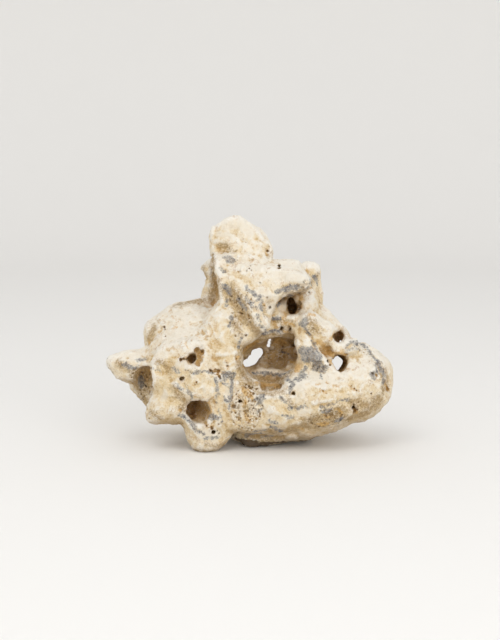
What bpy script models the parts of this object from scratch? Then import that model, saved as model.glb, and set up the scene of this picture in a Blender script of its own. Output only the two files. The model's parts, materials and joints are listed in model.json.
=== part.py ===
"""Limestone rock: one waterworn stone, bored by shellfish and worms, about 237 mm wide.

The stone is blocked out in rounded masses, its knobs and ridges are added, and its hollows and bores
are cut. The tables give each ball as (x, y, z, radius) in millimetres. They stand on the surface that
the stone rests on, and once it is made, the stone moves sideways until its origin is under its middle.
Units are metres. +Z is up and the front faces -Y.
"""

import bmesh
import bpy
from mathutils import Matrix, Vector

MM = 0.001

# How finely the stone is worked
MASS_VOXEL = 2.4 * MM
FINE_VOXEL = 2.0 * MM
BALL_SUBDIVISIONS = 2
BORE_SUBDIVISIONS = 1
MASS_SMOOTHING = 7
FEATURE_SMOOTHING = 2
HOLLOW_SMOOTHING = 2
SMOOTHING_FACTOR = 0.5
BLANK_TRIANGLES = 7600

# The shallow waves worn all over it
WAVE_SIZE = 22 * MM
WAVE_HEIGHT = 5 * MM
WAVE_DETAIL = 2

# The surface that it rests on
GROUND_WIDTH = 400 * MM
GROUND_DEPTH = 30 * MM

STONE_COLOUR = (0.62, 0.53, 0.40, 1.0)
STONE_ROUGHNESS = 0.9

# The rounded masses: each row is the hull of its balls
MASSES = {
    "belly_left": [(-34, -16, 50, 28), (-8, -14, 40, 27), (0, 18, 45, 32)],
    "belly_right": [(24, -16, 38, 29), (54, -18, 41, 32), (40, 22, 44, 28)],
    "front_lip": [(-16, -28, 27, 12), (20, -30, 27, 13), (50, -26, 30, 16)],
    "keel": [(-12, 2, 18, 14), (6, -8, 14, 15), (48, -6, 22, 17), (22, 14, 20, 20)],
    "right_lobe": [(54, -18, 41, 32), (91, -10, 51, 28), (90, -4, 67, 19.5), (100, -4, 58, 20)],
    "right_back": [(60, 18, 50, 30), (88, 12, 56, 24)],
    "left_shoulder": [(-58, 16, 100, 18), (-77, 12, 92, 14), (-38, 18, 104, 18), (-50, -12, 76, 25),
                      (-68, -8, 72, 19)],
    "left_front": [(-67, -24, 76, 13), (-65, -26, 52, 14), (-46, -27, 78, 18), (-44, -30, 54, 18),
                   (-60, 0, 62, 22)],
    "left_low_back": [(-58, -2, 42, 16), (-40, 12, 44, 22), (-66, 4, 52, 14)],
    "neck": [(-16, -2, 100, 20), (-6, 18, 98, 24), (26, 12, 96, 24), (16, -2, 106, 20)],
    "cavity_left_wall": [(-20, -24, 82, 13), (-16, -26, 72, 12), (-30, -22, 88, 12)],
    "neck_left": [(-15, -14, 122, 9), (-20, -22, 104, 12), (-4, -24, 98, 12), (-32, -20, 90, 14)],
    "tower": [(-27, 10, 175, 7), (-17, 7, 182, 7), (-9, 6, 185.5, 7), (4, 5, 175, 7), (11, 2, 161, 9),
              (-25, 4, 150, 9), (-18, -6, 140, 9), (2, -8, 142, 11), (-8, 22, 160, 11), (-17, 22, 148, 11)],
    "tower_foot": [(-8, 4, 124, 16), (4, 8, 124, 22), (-14, 22, 118, 16)],
    "brow": [(-17, -13, 142, 9), (4, -12, 148, 9), (36, -4, 146, 9), (43, -28, 138, 7), (26, -24, 133, 7),
             (4, -24, 126, 9)],
    "front_column": [(-12, -20, 130, 8), (14, -26, 128, 8), (4, -30, 116, 8), (9, -34, 104, 6)],
    "right_post": [(44, -4, 138, 7), (46, -8, 118, 11), (48, 8, 124, 11), (30, 14, 120, 14)],
    "chamber_floor": [(22, -16, 112, 9), (38, -16, 108, 9), (30, -14, 104, 9)],
    "right_slope": [(53, 4, 104, 15), (69, 2, 92, 13), (73, 2, 85, 13), (46, 12, 92, 18)],
    "cavity_right_wall": [(44, -18, 102, 8), (50, -22, 78, 13), (60, -20, 68, 12)],
    "back_slab": [(-44, 38, 40, 17), (-6, 46, 34, 20), (34, 46, 34, 20), (66, 30, 44, 18),
                  (-22, 34, 96, 18), (24, 34, 92, 16)],
    "back_ridge": [(-4, 26, 134, 12), (22, 40, 100, 13), (37, 54, 66, 13), (38, 56, 38, 14)],
    "back_boss": [(-18, 50, 44, 13), (-2, 56, 34, 12)],
    "back_ledge": [(-30, 46, 84, 10), (-12, 52, 88, 9), (-46, 40, 74, 10)],
    "back_left_flank": [(-68, 24, 84, 13), (-54, 38, 60, 16), (-46, 42, 38, 15), (-36, 30, 104, 15)],
}

# Knobs, ridges, feet and thin walls that keep a tighter shape
FEATURES = {
    "left_horn": [(-113, -10, 70, 7), (-108, -10, 62, 7), (-98, -10, 66, 12), (-80, -6, 68, 15),
                  (-98, -8, 60, 8)],
    "far_rim": [(-92, 6, 51, 10), (-82, 4, 36, 8), (-70, 2, 58, 16)],
    "front_ridge": [(-73, -30, 72, 8), (-73, -31, 60, 8), (-68, -26, 52, 10)],
    "left_flange": [(-79, -28, 29, 8), (-72, -26, 38, 13), (-52, -26, 38, 16)],
    "front_foot": [(-36, -27, 11.5, 15), (-38, -28, 32, 19), (-20, -24, 30, 15)],
    "middle_foot": [(2, -12, 8, 9), (18, 0, 18, 14)],
    "right_nub": [(50, 4, 6, 6), (46, 8, 22, 12)],
    "back_left_foot": [(-38, 40, 11, 13), (-30, 36, 32, 21), (-10, 44, 26, 18)],
    "back_right_foot": [(40, 42, 11, 13), (28, 42, 28, 20), (56, 28, 34, 19)],
    "back_keel": [(-12, 34, 21, 16), (20, 38, 21, 17)],
    "brow_nose": [(43.5, -30, 138.5, 6), (30, -22, 143, 8), (24, -26, 132, 6)],
    "knob": [(54, 8, 145.5, 6.5), (48, 8, 146, 6), (54, 9, 139, 6)],
    "knob_neck": [(54, 8, 142, 5), (55, 9, 130, 5), (53, 8, 118, 8)],
    "back_fin": [(-39.5, 34, 145.5, 3), (-30, 28, 140, 6), (-26, 26, 152, 7)],
    "fin_root": [(-30, 30, 134, 6), (-34, 30, 122, 8), (-22, 26, 126, 12)],
    "tower_lip": [(-27, -4, 157, 4.5), (-14, -7, 159, 4.5), (-24, -10, 146, 6), (-4, -10, 148, 6)],
    "front_plate": [(-24, -13, 150, 4), (-20, -20, 134, 4), (-19, -22, 120, 4), (-8, -14, 140, 8),
                    (-8, -18, 120, 8)],
    "diagonal_lobe": [(48, -22, 106, 9), (62, -22, 97, 10), (74, -17, 88, 7)],
    "bridge": [(66, -24, 84, 4), (84, -20, 84, 7), (78, 0, 84, 8)],
}

# Caves, windows and large bores: each row is the hull of its balls, taken away
HOLLOWS = {
    "cave_left": [(1, -50, 79, 8), (1, -48, 70, 8), (12, -46, 59, 8), (14, -50, 86, 9), (2, -6, 78, 9),
                  (0, -6, 72, 8)],
    "cave_middle": [(18, -50, 89, 10), (29, -50, 88, 11), (30, -48, 76, 11), (14, -4, 76, 11),
                    (24, -4, 80, 12)],
    "cave_cup": [(31, -24, 80, 10), (27, 2, 80, 12), (30, -22, 70, 8), (22, 2, 73, 10)],
    "cave_basin": [(15, -46, 60, 9), (10, -42, 64, 8), (24, -44, 62, 9), (16, -20, 59, 9)],
    "cave_window_high": [(4, -4, 77, 4.5), (8, -4, 77, 4.5), (5, -4, 73, 4), (4, 36, 71, 4.5),
                         (8, 36, 71, 4.5), (5, 36, 67, 4)],
    "cave_window_low": [(-5, -4, 67.5, 3.8), (3, -4, 69, 4), (-5, 36, 62, 3.8), (3, 36, 63.5, 4)],
    "arch_niche": [(36.5, -20, 86, 3.5), (36.5, -16, 81, 3.5), (36, 12, 83, 4)],
    "back_hollow": [(-8, 84, 66, 16), (6, 82, 56, 16), (10, 80, 76, 14), (2, 30, 69, 11), (12, 32, 77, 9)],
    "back_hollow_low": [(-28, 80, 46, 10), (-12, 48, 56, 9), (0, 40, 60, 9)],
    "right_window": [(74, -60, 79, 8), (74, -26, 73, 5.5), (74, 20, 66, 5.5), (74, -26, 69, 5)],
    "right_back_hollow": [(76, 62, 56, 13), (82, 56, 64, 10), (74, 18, 66, 9)],
    "back_scoop": [(-34, 66, 122, 14), (-18, 62, 132, 12), (-22, 44, 124, 8)],
    "back_groove": [(-66, 60, 100, 9), (-40, 66, 76, 9), (-30, 70, 62, 8)],
    "back_dish": [(28, 86, 82, 16), (34, 86, 66, 15)],
    "back_notch": [(8, 92, 24, 8), (20, 72, 20, 8), (14, 70, 12, 7)],
    "back_pocket": [(60, 66, 34, 9), (54, 56, 40, 8), (66, 48, 30, 7)],
    "under_lobe": [(56, -42, 86, 6), (70, -42, 82, 7), (64, -24, 82, 5)],
    "upper_chamber": [(33.5, -40, 123, 3.5), (34, -40, 115, 4), (35, 2, 116, 6)],
    "chamber_recess": [(29, -38, 122, 9), (30, -38, 110, 8), (28, -22, 116, 6)],
    "side_chamber": [(41, -30, 118, 4.5), (39, -13, 117, 4)],
    "left_bore": [(-37, -56, 33, 11), (-44, -34, 36, 11), (-53, -14, 40, 8)],
    "bore_lip": [(-34, -54, 30, 10), (-32, -50, 38, 8)],
    "left_cave": [(-91, -38, 62, 11), (-93, -32, 46, 12), (-84, -14, 58, 10), (-86, -14, 46, 9)],
    "tower_flute": [(-37, 12, 164, 5), (-34, 10, 148, 9), (-32, 10, 132, 12), (-35, 6, 123, 11),
                    (-50, 8, 128, 10)],
    "flute_front": [(-42, -18, 150, 11), (-38, -20, 134, 14), (-39, -18, 127, 12), (-32, 4, 140, 8)],
    "flute_undercut": [(-26, 8, 156, 6.5), (-19, 8, 140, 9.5), (-20, 6, 126, 9)],
    "tower_notch": [(-37, -15, 166, 9), (-18, -14, 167, 8), (-27, -5, 165.5, 7.5)],
    "edge_hole": [(72, -44, 98, 8), (74, -8, 92, 5), (75, 4, 91, 4)],
    "under_brow": [(28, -38, 124, 7), (44, -38, 128, 6), (36, -18, 125, 6)],
    "groove": [(-20, -40, 134, 3.5), (-8, -40, 118, 4), (5, -44, 102, 4)],
    "shoulder_pit": [(-49, -60, 79, 5), (-47, -36, 78, 5)],
    "shoulder_pit_side": [(-41, -60, 86, 5), (-43, -42, 83, 4)],
    "front_pit": [(-30, -60, 69, 5), (-25, -60, 65, 4), (-27, -40, 68, 4)],
}

# Small bores that are cut last, so that they keep their size
BORES = {
    "cave_slit": [(16, -16, 89, 1.7), (15.4, -16, 82, 1.2), (16, 44, 81, 1.7), (15.4, 44, 74, 1.2)],
    "ring_pit": [(25.5, -46, 103, 3.6), (25.5, -18, 100, 3.2)],
    "ring_pit_side": [(33, -46, 102, 2.8), (33, -17, 99, 2.4)],
    "brow_pit": [(24, -30, 158, 2), (24, -6, 146, 1.8)],
    "back_pit_high": [(-26, 70, 100, 3.4), (-28, 38, 98, 2.6)],
    "back_pit_left": [(-56, 70, 74, 4), (-54, 34, 72, 3)],
    "back_pit_side": [(-48, 74, 64, 2.4), (-46, 38, 62, 2)],
    "back_pit_right": [(48, 84, 78, 3), (44, 36, 78, 2.4)],
    "back_pit_low": [(14, 90, 34, 3.4), (12, 52, 34, 2.6)],
    "end_pit": [(130, 6, 58, 3), (106, 2, 58, 2.4)],
    "lobe_pit": [(35.5, -60, 53, 2.8), (35.5, -40, 50, 2.2)],
    "lobe_low_pit": [(84.5, -60, 38, 2.6), (84, -26, 38, 2.2)],
    "round_bore": [(-55.5, -60, 64, 2), (-54, -32, 62, 2)],
    "pillar_pit": [(64, -50, 77, 2), (63, -26, 74, 1.8)],
    "foot_pit": [(-30, -56, 17, 2.4), (-30, -34, 18, 2)],
    "pore_pit": [(-8, -60, 44, 2.6), (-8, -36, 43, 2.4)],
}


def hull_mesh(balls, subdivisions):
    """The skin stretched round some balls."""
    points = []
    for x, y, z, radius in balls:
        ball = bmesh.new()
        place = Matrix.Translation(Vector((x, y, z)) * MM)
        bmesh.ops.create_icosphere(ball, subdivisions=subdivisions, radius=radius * MM, matrix=place)
        points += [vert.co.copy() for vert in ball.verts]
        ball.free()
    shape = bmesh.new()
    for point in points:
        shape.verts.new(point)
    bmesh.ops.convex_hull(shape, input=shape.verts[:])
    bmesh.ops.delete(shape, geom=[vert for vert in shape.verts if not vert.link_faces], context="VERTS")
    mesh = bpy.data.meshes.new("hull")
    shape.to_mesh(mesh)
    shape.free()
    return mesh


def object_of_hulls(name, rows, collection, subdivisions):
    """One object that holds the hull of every row of a table."""
    shape = bmesh.new()
    for balls in rows.values():
        hull = hull_mesh(balls, subdivisions)
        shape.from_mesh(hull)
        bpy.data.meshes.remove(hull)
    mesh = bpy.data.meshes.new(name)
    shape.to_mesh(mesh)
    shape.free()
    made = bpy.data.objects.new(name, mesh)
    collection.objects.link(made)
    return made


def remesh(target, voxel):
    """Fuses what overlaps into one even skin."""
    step = target.modifiers.new("fuse", "REMESH")
    step.mode = "VOXEL"
    step.voxel_size = voxel


def smooth(target, times):
    """Wears the skin down."""
    step = target.modifiers.new("smooth", "SMOOTH")
    step.factor = SMOOTHING_FACTOR
    step.iterations = times


def boolean(target, other, operation):
    """Joins the other shape on, or cuts it away."""
    step = target.modifiers.new(other.name, "BOOLEAN")
    step.operation = operation
    step.object = other


def roughen(target, name, size, height):
    """Raises and lowers the skin by a cloudy pattern."""
    pattern = bpy.data.textures.new(name, "CLOUDS")
    pattern.noise_scale = size
    pattern.noise_depth = WAVE_DETAIL
    step = target.modifiers.new(name, "DISPLACE")
    step.texture = pattern
    step.texture_coords = "LOCAL"
    step.strength = height
    step.mid_level = 0.5


def helper(made):
    """A shape that only cuts or joins: never rendered, drawn as wire."""
    made.hide_render = True
    made.display_type = "WIRE"
    return made


def decimate(target, triangles):
    """Brings the skin down to a number of triangles."""
    graph = bpy.context.evaluated_depsgraph_get()
    skin = target.evaluated_get(graph)
    mesh = skin.to_mesh()
    mesh.calc_loop_triangles()
    ratio = triangles / len(mesh.loop_triangles)
    skin.to_mesh_clear()
    step = target.modifiers.new("decimate", "DECIMATE")
    step.ratio = ratio


def ground_block(collection):
    """Everything below the surface that the stone rests on."""
    shape = bmesh.new()
    size = Matrix.Diagonal((GROUND_WIDTH, GROUND_WIDTH, GROUND_DEPTH, 1))
    place = Matrix.Translation((0, 0, -GROUND_DEPTH / 2))
    bmesh.ops.create_cube(shape, size=1, matrix=place @ size)
    mesh = bpy.data.meshes.new("ground")
    shape.to_mesh(mesh)
    shape.free()
    block = bpy.data.objects.new("ground", mesh)
    collection.objects.link(block)
    return block


def fix_in_place(target):
    """Keeps the finished skin, moves it until the origin is under its middle, and returns the move."""
    graph = bpy.context.evaluated_depsgraph_get()
    skin = bpy.data.meshes.new_from_object(target.evaluated_get(graph))
    target.modifiers.clear()
    target.data = skin
    corners = [Vector(corner) for corner in target.bound_box]
    low = Vector([min(corner[axis] for corner in corners) for axis in range(3)])
    high = Vector([max(corner[axis] for corner in corners) for axis in range(3)])
    middle = (low + high) / 2
    shift = Vector((-middle.x, -middle.y, -low.z))
    skin.transform(Matrix.Translation(shift))
    return shift


def limestone():
    """Pale waterworn limestone."""
    material = bpy.data.materials.new("limestone")
    material.use_nodes = True
    shader = material.node_tree.nodes["Principled BSDF"]
    shader.inputs["Base Color"].default_value = STONE_COLOUR
    shader.inputs["Roughness"].default_value = STONE_ROUGHNESS
    shader.inputs["Metallic"].default_value = 0.0
    material.diffuse_color = STONE_COLOUR
    return material


def main():
    for old in list(bpy.data.objects):
        bpy.data.objects.remove(old)
    stone = bpy.data.collections.new("limestone_rock")
    shapes = bpy.data.collections.new("forms_and_cutters")
    bpy.context.scene.collection.children.link(stone)
    bpy.context.scene.collection.children.link(shapes)

    rock = object_of_hulls("limestone_rock", MASSES, stone, BALL_SUBDIVISIONS)
    features = helper(object_of_hulls("features", FEATURES, shapes, BALL_SUBDIVISIONS))
    hollows = helper(object_of_hulls("hollows", HOLLOWS, shapes, BALL_SUBDIVISIONS))
    bores = helper(object_of_hulls("bores", BORES, shapes, BORE_SUBDIVISIONS))
    ground = helper(ground_block(shapes))
    remesh(features, FINE_VOXEL)
    remesh(hollows, FINE_VOXEL)

    remesh(rock, MASS_VOXEL)
    smooth(rock, MASS_SMOOTHING)
    boolean(rock, features, "UNION")
    remesh(rock, FINE_VOXEL)
    smooth(rock, FEATURE_SMOOTHING)
    roughen(rock, "waves", WAVE_SIZE, WAVE_HEIGHT)
    boolean(rock, hollows, "DIFFERENCE")
    remesh(rock, FINE_VOXEL)
    smooth(rock, HOLLOW_SMOOTHING)
    decimate(rock, BLANK_TRIANGLES)
    boolean(rock, bores, "DIFFERENCE")
    boolean(rock, ground, "DIFFERENCE")
    shift = fix_in_place(rock)
    for shape in shapes.objects:
        shape.location += shift
    rock.data.materials.clear()
    rock.data.materials.append(limestone())


main()
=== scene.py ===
# %% [markdown]
# # A weathered limestone rock
# This lesson dresses one waterworn stone. The imported model gives its form in broad facets, at its real
# size. Here the stone gets its skin: the dimples and grain that water leaves, the bores of shellfish and
# worms, the chalky bloom on top with painted light, the brown of its caves with painted shade, and the
# thin grey stains. Blender's lengths are in metres, and what is listed here in millimetres is turned into
# metres with MM.

import json
import math
import random

import bpy
import numpy as np
from mathutils import Matrix, Vector, noise
from mathutils.bvhtree import BVHTree
from mathutils.kdtree import KDTree

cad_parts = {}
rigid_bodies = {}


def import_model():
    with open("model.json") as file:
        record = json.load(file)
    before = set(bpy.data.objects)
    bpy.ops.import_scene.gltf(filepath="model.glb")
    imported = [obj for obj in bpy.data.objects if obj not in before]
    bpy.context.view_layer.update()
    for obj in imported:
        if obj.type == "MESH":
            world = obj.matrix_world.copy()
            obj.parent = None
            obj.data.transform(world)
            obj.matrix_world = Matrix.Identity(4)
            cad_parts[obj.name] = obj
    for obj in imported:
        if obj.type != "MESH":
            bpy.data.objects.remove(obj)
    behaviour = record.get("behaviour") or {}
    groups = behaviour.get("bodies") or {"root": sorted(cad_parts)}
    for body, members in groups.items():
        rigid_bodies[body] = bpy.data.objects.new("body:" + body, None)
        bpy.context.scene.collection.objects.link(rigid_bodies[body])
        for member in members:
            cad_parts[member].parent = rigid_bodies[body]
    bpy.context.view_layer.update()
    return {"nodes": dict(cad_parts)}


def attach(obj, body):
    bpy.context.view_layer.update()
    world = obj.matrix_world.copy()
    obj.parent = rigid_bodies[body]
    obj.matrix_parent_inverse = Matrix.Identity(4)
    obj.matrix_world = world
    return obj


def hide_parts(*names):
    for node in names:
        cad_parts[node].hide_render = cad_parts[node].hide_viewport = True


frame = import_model()
form = frame["nodes"]["limestone_rock"]
MM = 0.001

# %% [markdown]
# The camera comes first, because marks on a stone are easiest to place the way one sees them: by where
# they show in the picture. A ray goes from the camera through that spot and stops on the stone, so each
# mark sits on the surface, seen from any side. The camera stands a little over a metre away and looks
# down by 8 degrees.

# %% The camera, and a ray through a spot in the picture
PICTURE_WIDTH = 500
PICTURE_HEIGHT = 640
LENS = 75.0
SENSOR = 36.0
CAMERA_DISTANCE = 1.115
CAMERA_TILT = math.radians(8)
AIM = Vector((-0.07, -10.0, 104.5)) * MM

camera = bpy.data.objects.new("camera", bpy.data.cameras.new("camera"))
bpy.context.scene.collection.objects.link(camera)
bpy.context.scene.camera = camera
camera.data.lens = LENS
camera.data.sensor_width = SENSOR
camera.rotation_euler = (math.radians(90) - CAMERA_TILT, 0, 0)
camera.location = AIM + CAMERA_DISTANCE * Vector((0, -math.cos(CAMERA_TILT), math.sin(CAMERA_TILT)))
bpy.context.view_layer.update()
PIXELS_PER_UNIT = LENS / SENSOR * PICTURE_HEIGHT


def ray_through(u, v):
    """The direction from the camera through a spot of the picture, counted in pixels from its top left."""
    across = (u - PICTURE_WIDTH / 2) / PIXELS_PER_UNIT
    up = (PICTURE_HEIGHT / 2 - v) / PIXELS_PER_UNIT
    return (camera.matrix_world.to_3x3() @ Vector((across, up, -1))).normalized()


print("camera at", [round(value, 3) for value in camera.location])

# %% [markdown]
# The piece starts as a copy of the form. Its loose triangles are merged, and a voxel remesh gives it an
# even skin of small squares, which is what fine relief needs. Sculpting by hand would start from the same
# remesh.

# %% An even skin
SKIN_VOXEL = 0.8 * MM
FACET_SMOOTHING = 5
SMOOTHING = 0.5
DOUBLES = 0.001 * MM


def only(*pieces):
    """Selects these pieces and nothing else, with the first one active."""
    bpy.ops.object.select_all(action="DESELECT")
    for piece in pieces:
        piece.select_set(True)
    bpy.context.view_layer.objects.active = pieces[0]


def finish_with(piece, kind, **settings):
    """Gives the piece a modifier with these settings, and applies it."""
    only(piece)
    bpy.ops.object.modifier_add(type=kind)
    step = piece.modifiers[-1]
    for name, value in settings.items():
        setattr(step, name, value)
    bpy.ops.object.modifier_apply(modifier=step.name)


stone = form.copy()
stone.data = form.data.copy()
stone.name = "weathered_stone"
stone.parent = None
bpy.context.scene.collection.objects.link(stone)
only(stone)
bpy.ops.object.mode_set(mode="EDIT")
bpy.ops.mesh.select_all(action="SELECT")
bpy.ops.mesh.remove_doubles(threshold=DOUBLES)
bpy.ops.object.mode_set(mode="OBJECT")
finish_with(stone, "REMESH", mode="VOXEL", voxel_size=SKIN_VOXEL)
finish_with(stone, "SMOOTH", factor=SMOOTHING, iterations=FACET_SMOOTHING)
print("skin:", len(stone.data.vertices), "points")

# %% [markdown]
# Broad facets and a remesh leave the forms a little melted, as a first block in clay is. A copy is
# smoothed until only its large shapes are left, and every point is then pushed further from it than it
# already was, but not by much, and not at the feet, which stay flat. That draws the ridges up and the
# hollows in.

# %% Crisper ridges and hollows
SOFT_STEPS = 60
CRISPNESS = 1.0
MOST_PUSH = 1.3 * MM
FEET = 6 * MM
TINY = 1e-9


def points_of(piece):
    """The piece's points as an array."""
    found = np.empty(len(piece.data.vertices) * 3, np.float32)
    piece.data.vertices.foreach_get("co", found)
    return found.reshape(-1, 3)


def normals_of(piece):
    """The surface's direction at each of the piece's points."""
    found = np.empty(len(piece.data.vertices) * 3, np.float32)
    piece.data.vertices.foreach_get("normal", found)
    return found.reshape(-1, 3)


def softened(piece, steps):
    """The points and directions that the piece would have if it were smoothed this much."""
    copy = piece.copy()
    copy.data = piece.data.copy()
    bpy.context.scene.collection.objects.link(copy)
    finish_with(copy, "SMOOTH", factor=SMOOTHING, iterations=steps)
    found = points_of(copy), normals_of(copy)
    bpy.data.objects.remove(copy)
    return found


points = points_of(stone)
soft_points, _ = softened(stone, SOFT_STEPS)
push = points - soft_points
push *= CRISPNESS * np.clip(points[:, 2:] / FEET, 0, 1)
length = np.linalg.norm(push, axis=1)[:, None]
push *= np.minimum(1, MOST_PUSH / np.maximum(length, TINY))
stone.data.vertices.foreach_set("co", (points + push).ravel())
stone.data.update()
print("pushed by up to", round(float(np.linalg.norm(push, axis=1).max()) / MM, 2), "mm")

# %% [markdown]
# Marks are found on the skin with a ray. A stroke is a line of spots, and `trace` lays it on the stone as
# a chain of points about a millimetre apart. `distance_to` then says how far each point of the skin is
# from it, which is what both the relief and the stains are made from.

# %% Finding marks on the skin
TRACE_STEP = 1.0
FAR = 1.0
REACH = 12 * MM

surface = BVHTree.FromObject(stone, bpy.context.evaluated_depsgraph_get())


def spot(u, v):
    """Where the ray through a spot of the picture meets the stone, and the surface's direction there."""
    place, normal, _, _ = surface.ray_cast(camera.location, ray_through(u, v))
    return place, normal


def trace(line):
    """The points on the stone under a line of spots."""
    found = []
    for (u0, v0), (u1, v1) in zip(line, line[1:] or line):
        steps = max(1, round(math.hypot(u1 - u0, v1 - v0) / TRACE_STEP))
        for step in range(steps + 1):
            place, _ = spot(u0 + (u1 - u0) * step / steps, v0 + (v1 - v0) * step / steps)
            if place is not None:
                found.append(place)
    return found


def distance_to(points, chains):
    """How far each point is from the nearest of some traced chains, less that chain's half width."""
    nearest = np.full(len(points), FAR, np.float32)
    for half_width, chain in chains:
        if not chain:
            continue
        tree = KDTree(len(chain))
        for index, place in enumerate(chain):
            tree.insert(place, index)
        tree.balance()
        low = np.min(chain, axis=0) - REACH
        high = np.max(chain, axis=0) + REACH
        near = np.nonzero(((points > low) & (points < high)).all(axis=1))[0]
        found = np.array([tree.find(points[index])[2] for index in near], np.float32)
        nearest[near] = np.minimum(nearest[near], found - half_width)
    return nearest


print("a spot on the tower:", spot(240, 240))

# %% [markdown]
# Between the broad forms and the grain the stone has lips, welts and folds a few millimetres wide. Each
# is drawn as a stroke, as with a sculpting brush: how high it stands (or how deep it goes, below zero),
# its half width, and the line that it follows. Listed like this, a stroke is easy to move or to leave out.

# %% The strokes, region by region
# Each stroke is its height and half width in millimetres, then its line: spots in the picture, as u,v.
STROKES = {
    "tower": """-0.9 1.2 225,252 230,253 236,251; 0.8 1.6 214,241 223,240 233,241;
        0.9 1.2 216,262 220,274 222,288 223,300 220,308 214,312;
        -2.2 2.2 213,256 213,264 215,276 217,288 216,298 213,304; 1.4 1.8 214,229 212,240;
        1.1 1.6 214,229 222,224 230,220; 0.9 2 249,224 256,231 262,239; -0.8 4 234,230 244,238;
        1 1.2 202,266 204,274 207,281; 0.8 2.4 262,262 252,258 240,258; 0.6 4 222,261 234,260;
        -0.8 2.5 226,272 238,275 247,281 252,288; -0.9 1 268,246 267,251 267,257""",
    "brow": """-1.6 1.1 310,288 303,292 297,294 289,297 282,298 278,303;
        0.9 1.3 283,295 290,294 298,291 305,288; -1 3.5 284,288 295,286 301,288;
        0.7 2.5 262,289 269,294 275,298; 0.8 2.5 288,277 298,280 306,283""",
    "chamber": """0.8 5 268,307 272,308; -0.9 0.9 263,303 262,309 265,315 271,317 278,314 279,307;
        0.7 2 262,318 265,324 269,327; -1 1 270,322 276,321 282,318;
        0.6 1 278,328 279,324 283,323 286,327 284,331 280,331;
        0.5 0.9 287,328 288,324 291,324 293,327 292,331; 0.8 1.2 258,334 266,333 274,331 282,333;
        -1 0.9 258,337 266,336 274,334 280,335""",
    "groove": """-0.8 1.6 253,322 248,312 243,303 236,296 230,291;
        0.7 1.4 258,324 254,314 248,304 242,296 236,290; 0.6 1.2 264,333 260,325 257,316 253,306;
        -0.7 1.2 240,316 238,324 240,332; -0.6 0.8 229,323 238,324; 0.5 3 231,309 229,317""",
    "shoulder": """0.8 1.2 158,317 160,320 164,325; -0.6 0.9 156,319 159,322 161,327;
        0.7 1 168,310 171,316 175,320 181,322; -0.7 0.9 171,309 173,314 177,319 182,320;
        0.7 1.2 196,331 201,327 206,329 209,334; -0.6 0.9 196,335 202,332 206,335 207,340;
        0.6 1 208,322 213,327 214,333; 0.6 1 183,339 182,344 185,350; -0.5 0.9 187,339 186,344 189,349;
        -0.7 0.9 168,350 172,348 176,350; 0.9 2 183,305 192,310 200,316;
        -0.8 1.6 160,331 153,337 149,344""",
    "flank": """1.1 1.5 154,366 155,380 153,391 150,400; 0.7 2 163,362 170,366 175,372;
        -0.8 2.2 158,372 166,375 172,380; 0.8 2.2 175,383 180,388 188,391; -0.8 1.2 175,388 181,394 185,400;
        0.7 1 195,394 200,395 205,399; -0.8 0.8 195,397 199,398 203,402; 0.8 2 198,389 205,386 212,390;
        0.7 2.4 212,399 213,399; -0.7 1.6 158,392 164,397 167,405; 0.8 1.4 146,412 155,416 163,417""",
    "foot": """1 1.3 187,407 186,415 190,423 195,430 200,435; 0.8 1.3 189,402 195,399 203,400 209,405;
        -0.8 2 203,418 206,424 205,429; 0.8 2 209,421 214,417 218,420; -0.7 2 224,425 229,431 235,436""",
    "pore_bed": """0.9 1.6 226,376 233,373 240,377 245,382; -0.9 3 242,386 245,392; -1 2.4 233,405 235,409;
        0.8 1.6 227,398 229,410 234,418; 0.8 1.6 256,397 262,400 266,405; -0.8 1.4 259,404 263,407""",
    "cave": """1 1.3 243,387 250,392 258,396 268,398 279,397 287,392;
        1 1.4 252,372 260,370 270,372 280,371 290,368; -1 1.4 254,379 264,379 275,380 285,377;
        1 1.2 271,347 277,350 284,349 290,347; -1 1 271,350 278,352 286,352;
        0.9 1.2 239,352 244,349 250,345; 0.8 1.4 217,355 226,354 235,353; -0.8 1.2 218,358 227,357 236,356;
        0.9 1.4 228,371 236,366 241,361""",
    "lobe_top": """0.9 1.4 298,321 297,333 299,344; -0.9 1.2 306,331 312,338 314,346;
        0.9 1.3 315,337 320,341 328,347 335,350; -1 1.2 318,346 322,353 327,358;
        0.9 1.2 330,360 332,355 337,351 342,353; 1 1.6 344,346 350,341 358,341 366,346 370,352;
        -1 1.2 347,348 352,344 358,345 364,349; 1 1.6 372,354 379,359 383,366 385,374 385,383;
        -1 1.2 372,360 377,364 380,371 380,379; 0.7 1.2 370,372 374,369 378,372 379,377;
        -0.8 1 312,349 314,356 318,362; 0.7 1.2 301,350 308,352 313,350;
        0.7 1 316,362 319,359 324,361 326,368; -0.8 1 313,366 317,372 324,373""",
    "folds": """1.1 1.6 277,341 279,352 277,364; -1.2 1.5 283,341 285,352 284,366;
        1.1 1.4 290,344 291,354 289,368; -1 1.6 270,350 271,360 268,368""",
    "bowl": "-2 3.4 212,402 216,411 213,420; -1.2 3 204,423 212,424",
    "lobe": """-0.8 0.9 281,397 285,401 290,407 294,409; 0.7 1.2 284,396 288,400 293,405;
        0.6 1.8 313,384 322,388 330,386; -0.6 1.4 317,392 323,392 329,391; 0.7 2 335,395 345,396 353,393;
        -0.8 1.4 313,407 322,405 333,403; 0.8 1.6 314,403 324,401 335,399; -0.8 2.4 322,417 332,416 340,412;
        0.8 1.4 322,425 333,422 344,417; -0.7 2 289,422 297,418 305,419; 0.8 2.6 270,409 280,412 288,416;
        -0.8 2 266,424 274,427 281,425; 0.6 1.6 262,431 272,434 284,433;
        2 4.5 248,440 258,441 268,440 280,438 292,436""",
}


def rows(regions):
    """The words of every entry of a table whose entries are parted by semicolons."""
    return [entry.split() for text in regions.values() for entry in text.split(";")]


def drawn(regions):
    """The strokes of a table: each has its measures, then its line as a list of spots."""
    strokes = []
    for words in rows(regions):
        line = [tuple(map(int, word.split(","))) for word in words if "," in word]
        strokes.append((*[float(word) for word in words if "," not in word], line))
    return strokes


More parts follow.
